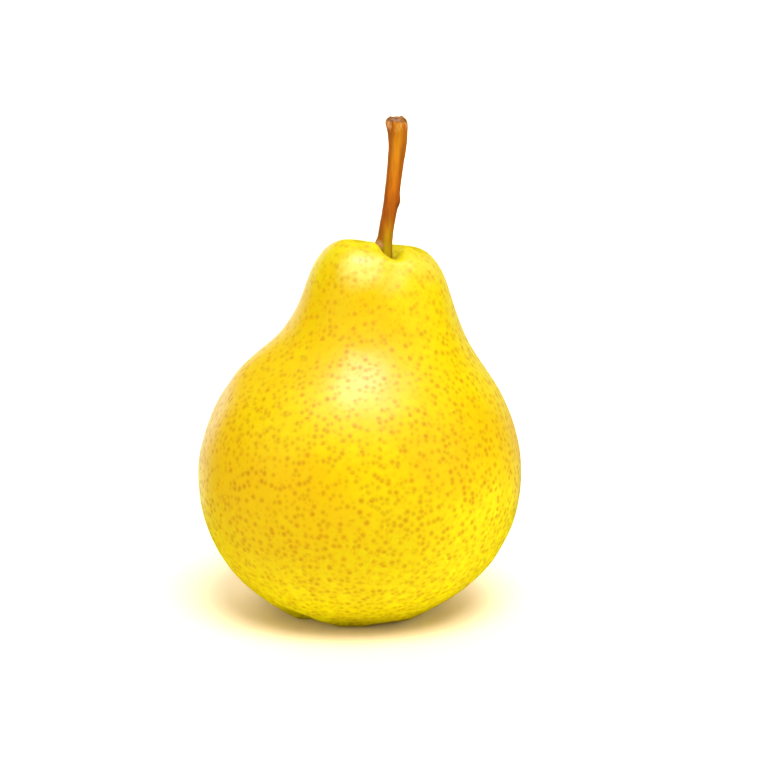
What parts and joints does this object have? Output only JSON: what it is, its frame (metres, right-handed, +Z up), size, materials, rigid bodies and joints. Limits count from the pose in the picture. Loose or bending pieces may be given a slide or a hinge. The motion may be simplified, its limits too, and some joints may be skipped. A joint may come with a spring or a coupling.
{
  "type": "fresh pear",
  "caption": "Ripe yellow pear standing on its base, with a round belly, a tapering neck, a lopsided crown, a woody stem and a dried calyx in the basin underneath.",
  "frame": {"origin": "on the surface the pear stands on, under the middle of its belly", "axes": "+Z up from the foot to the end of the stem, -Y towards the viewer, +X to the viewer's right"},
  "size_m": [0.0727, 0.073, 0.1117],
  "materials": {
    "skin": "satin",
    "bark": "matte",
    "husk": "matte"
  },
  "bodies": {
    "root": {"fruit": "skin", "stem": "bark", "calyx": "husk"}
  },
  "joints": []
}
